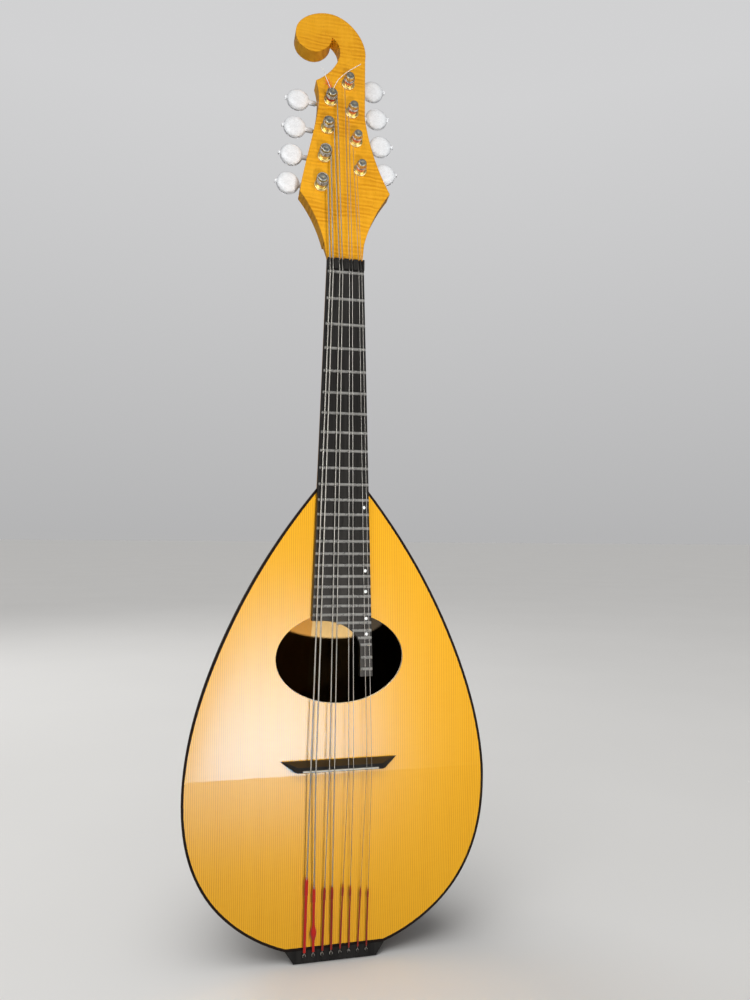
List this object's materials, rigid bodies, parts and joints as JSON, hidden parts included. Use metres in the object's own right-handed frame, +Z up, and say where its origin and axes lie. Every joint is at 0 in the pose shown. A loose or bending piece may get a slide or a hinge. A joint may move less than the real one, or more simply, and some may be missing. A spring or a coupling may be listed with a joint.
{
  "type": "mandolin",
  "caption": "Teardrop bowl-back mandolin with a canted top, oval soundhole, fingerboard tongue reaching over the hole, curled scroll head and geared tuning machines.",
  "frame": {"origin": "middle of the tailpiece's flat outer end, on the centre line, 22 mm behind the plane of the soundboard's upper part", "axes": "+Z up the neck to the head, the playing face looks along -Y and the bowl is on +Y, +X is the treble side"},
  "size_m": [0.2108, 0.1504, 0.6861],
  "materials": {
    "spruce": "glossy spirit varnish over straight-grained spruce",
    "dark_binding": "polished dark wood edge",
    "rosewood": "polished dark ribs",
    "block_wood": "bare pale wood inside the body",
    "flamed_maple": "glossy honey varnish over flamed maple",
    "ebony": "satin oiled ebony",
    "nickel_silver": "polished fret metal",
    "pearl": "mother-of-pearl dot",
    "wound_string": "round-wound string",
    "plain_string": "plain steel string",
    "red_silk": "silk thread wound over the string ends",
    "gilt_brass": "gilt brass",
    "pearloid": "cream pearl-look button"
  },
  "bodies": {
    "instrument": {"soundboard": "spruce", "edge_binding": "dark_binding", "bowl_ribs": "rosewood", "neck_block": "block_wood", "tail_block": "block_wood", "soundboard_braces": "spruce", "linings": "block_wood", "neck": "flamed_maple", "fingerboard": "ebony", "frets": "nickel_silver", "zero_fret": "nickel_silver", "position_dots": "pearl", "nut": "ebony", "bridge": "ebony", "saddle": "nickel_silver", "tailpiece": "ebony", "tail_pins": "nickel_silver", "strings_g": "wound_string", "strings_d": "wound_string", "strings_a": "plain_string", "strings_e": "plain_string", "silk_sleeves": "red_silk", "tuner_plate_bass": "gilt_brass", "tuner_plate_treble": "gilt_brass", "bushings": "gilt_brass", "plate_screws": "gilt_brass"},
    "machine_shaft_1": {"worm_shaft_1": "gilt_brass", "button_1": "pearloid"},
    "string_post_1": {"post_1": "gilt_brass", "gear_1": "gilt_brass"},
    "machine_shaft_2": {"worm_shaft_2": "gilt_brass", "button_2": "pearloid"},
    "string_post_2": {"post_2": "gilt_brass", "gear_2": "gilt_brass"},
    "machine_shaft_3": {"worm_shaft_3": "gilt_brass", "button_3": "pearloid"},
    "string_post_3": {"post_3": "gilt_brass", "gear_3": "gilt_brass"},
    "machine_shaft_4": {"worm_shaft_4": "gilt_brass", "button_4": "pearloid"},
    "string_post_4": {"post_4": "gilt_brass", "gear_4": "gilt_brass"},
    "machine_shaft_5": {"worm_shaft_5": "gilt_brass", "button_5": "pearloid"},
    "string_post_5": {"post_5": "gilt_brass", "gear_5": "gilt_brass"},
    "machine_shaft_6": {"worm_shaft_6": "gilt_brass", "button_6": "pearloid"},
    "string_post_6": {"post_6": "gilt_brass", "gear_6": "gilt_brass"},
    "machine_shaft_7": {"worm_shaft_7": "gilt_brass", "button_7": "pearloid"},
    "string_post_7": {"post_7": "gilt_brass", "gear_7": "gilt_brass"},
    "machine_shaft_8": {"worm_shaft_8": "gilt_brass", "button_8": "pearloid"},
    "string_post_8": {"post_8": "gilt_brass", "gear_8": "gilt_brass"}
  },
  "joints": [
    {"name": "shaft_turn_1", "type": "hinge", "parent": "instrument", "child": "machine_shaft_1", "pos_m": [-0.01559, 0.00265, 0.54819], "axis": [-0.994, 0.0153, 0.1087], "continuous": true},
    {"name": "post_turn_1", "type": "hinge", "parent": "instrument", "child": "string_post_1", "pos_m": [-0.0163, -0.0135, 0.54394], "axis": [0, -0.9903, 0.1392], "continuous": true},
    {"name": "shaft_turn_2", "type": "hinge", "parent": "instrument", "child": "machine_shaft_2", "pos_m": [-0.01302, 0.00589, 0.57123], "axis": [-0.994, 0.0153, 0.1087], "continuous": true},
    {"name": "post_turn_2", "type": "hinge", "parent": "instrument", "child": "string_post_2", "pos_m": [-0.01373, -0.01026, 0.56697], "axis": [0, -0.9903, 0.1392], "continuous": true},
    {"name": "shaft_turn_3", "type": "hinge", "parent": "instrument", "child": "machine_shaft_3", "pos_m": [-0.01045, 0.00913, 0.59426], "axis": [-0.994, 0.0153, 0.1087], "continuous": true},
    {"name": "post_turn_3", "type": "hinge", "parent": "instrument", "child": "string_post_3", "pos_m": [-0.01116, -0.00702, 0.59001], "axis": [0, -0.9903, 0.1392], "continuous": true},
    {"name": "shaft_turn_4", "type": "hinge", "parent": "instrument", "child": "machine_shaft_4", "pos_m": [-0.00788, 0.01236, 0.61729], "axis": [-0.994, 0.0153, 0.1087], "continuous": true},
    {"name": "post_turn_4", "type": "hinge", "parent": "instrument", "child": "string_post_4", "pos_m": [-0.0086, -0.00379, 0.61304], "axis": [0, -0.9903, 0.1392], "continuous": true},
    {"name": "shaft_turn_5", "type": "hinge", "parent": "instrument", "child": "machine_shaft_5", "pos_m": [0.01179, 0.00478, 0.56335], "axis": [0.994, 0.0153, 0.1087], "continuous": true},
    {"name": "post_turn_5", "type": "hinge", "parent": "instrument", "child": "string_post_5", "pos_m": [0.0125, -0.01137, 0.55909], "axis": [0, -0.9903, 0.1392], "continuous": true},
    {"name": "shaft_turn_6", "type": "hinge", "parent": "instrument", "child": "machine_shaft_6", "pos_m": [0.00922, 0.00802, 0.58638], "axis": [0.994, 0.0153, 0.1087], "continuous": true},
    {"name": "post_turn_6", "type": "hinge", "parent": "instrument", "child": "string_post_6", "pos_m": [0.00993, -0.00813, 0.58212], "axis": [0, -0.9903, 0.1392], "continuous": true},
    {"name": "shaft_turn_7", "type": "hinge", "parent": "instrument", "child": "machine_shaft_7", "pos_m": [0.00665, 0.01125, 0.60941], "axis": [0.994, 0.0153, 0.1087], "continuous": true},
    {"name": "post_turn_7", "type": "hinge", "parent": "instrument", "child": "string_post_7", "pos_m": [0.00736, -0.00489, 0.60516], "axis": [0, -0.9903, 0.1392], "continuous": true},
    {"name": "shaft_turn_8", "type": "hinge", "parent": "instrument", "child": "machine_shaft_8", "pos_m": [0.00408, 0.01449, 0.63244], "axis": [0.994, 0.0153, 0.1087], "continuous": true},
    {"name": "post_turn_8", "type": "hinge", "parent": "instrument", "child": "string_post_8", "pos_m": [0.0048, -0.00166, 0.62819], "axis": [0, -0.9903, 0.1392], "continuous": true}
  ],
  "couplings": [
    {"joint": "post_turn_1", "follows": "shaft_turn_1", "ratio": -0.071429},
    {"joint": "post_turn_2", "follows": "shaft_turn_2", "ratio": -0.071429},
    {"joint": "post_turn_3", "follows": "shaft_turn_3", "ratio": -0.071429},
    {"joint": "post_turn_4", "follows": "shaft_turn_4", "ratio": -0.071429},
    {"joint": "post_turn_5", "follows": "shaft_turn_5", "ratio": 0.071429},
    {"joint": "post_turn_6", "follows": "shaft_turn_6", "ratio": 0.071429},
    {"joint": "post_turn_7", "follows": "shaft_turn_7", "ratio": 0.071429},
    {"joint": "post_turn_8", "follows": "shaft_turn_8", "ratio": 0.071429}
  ]
}
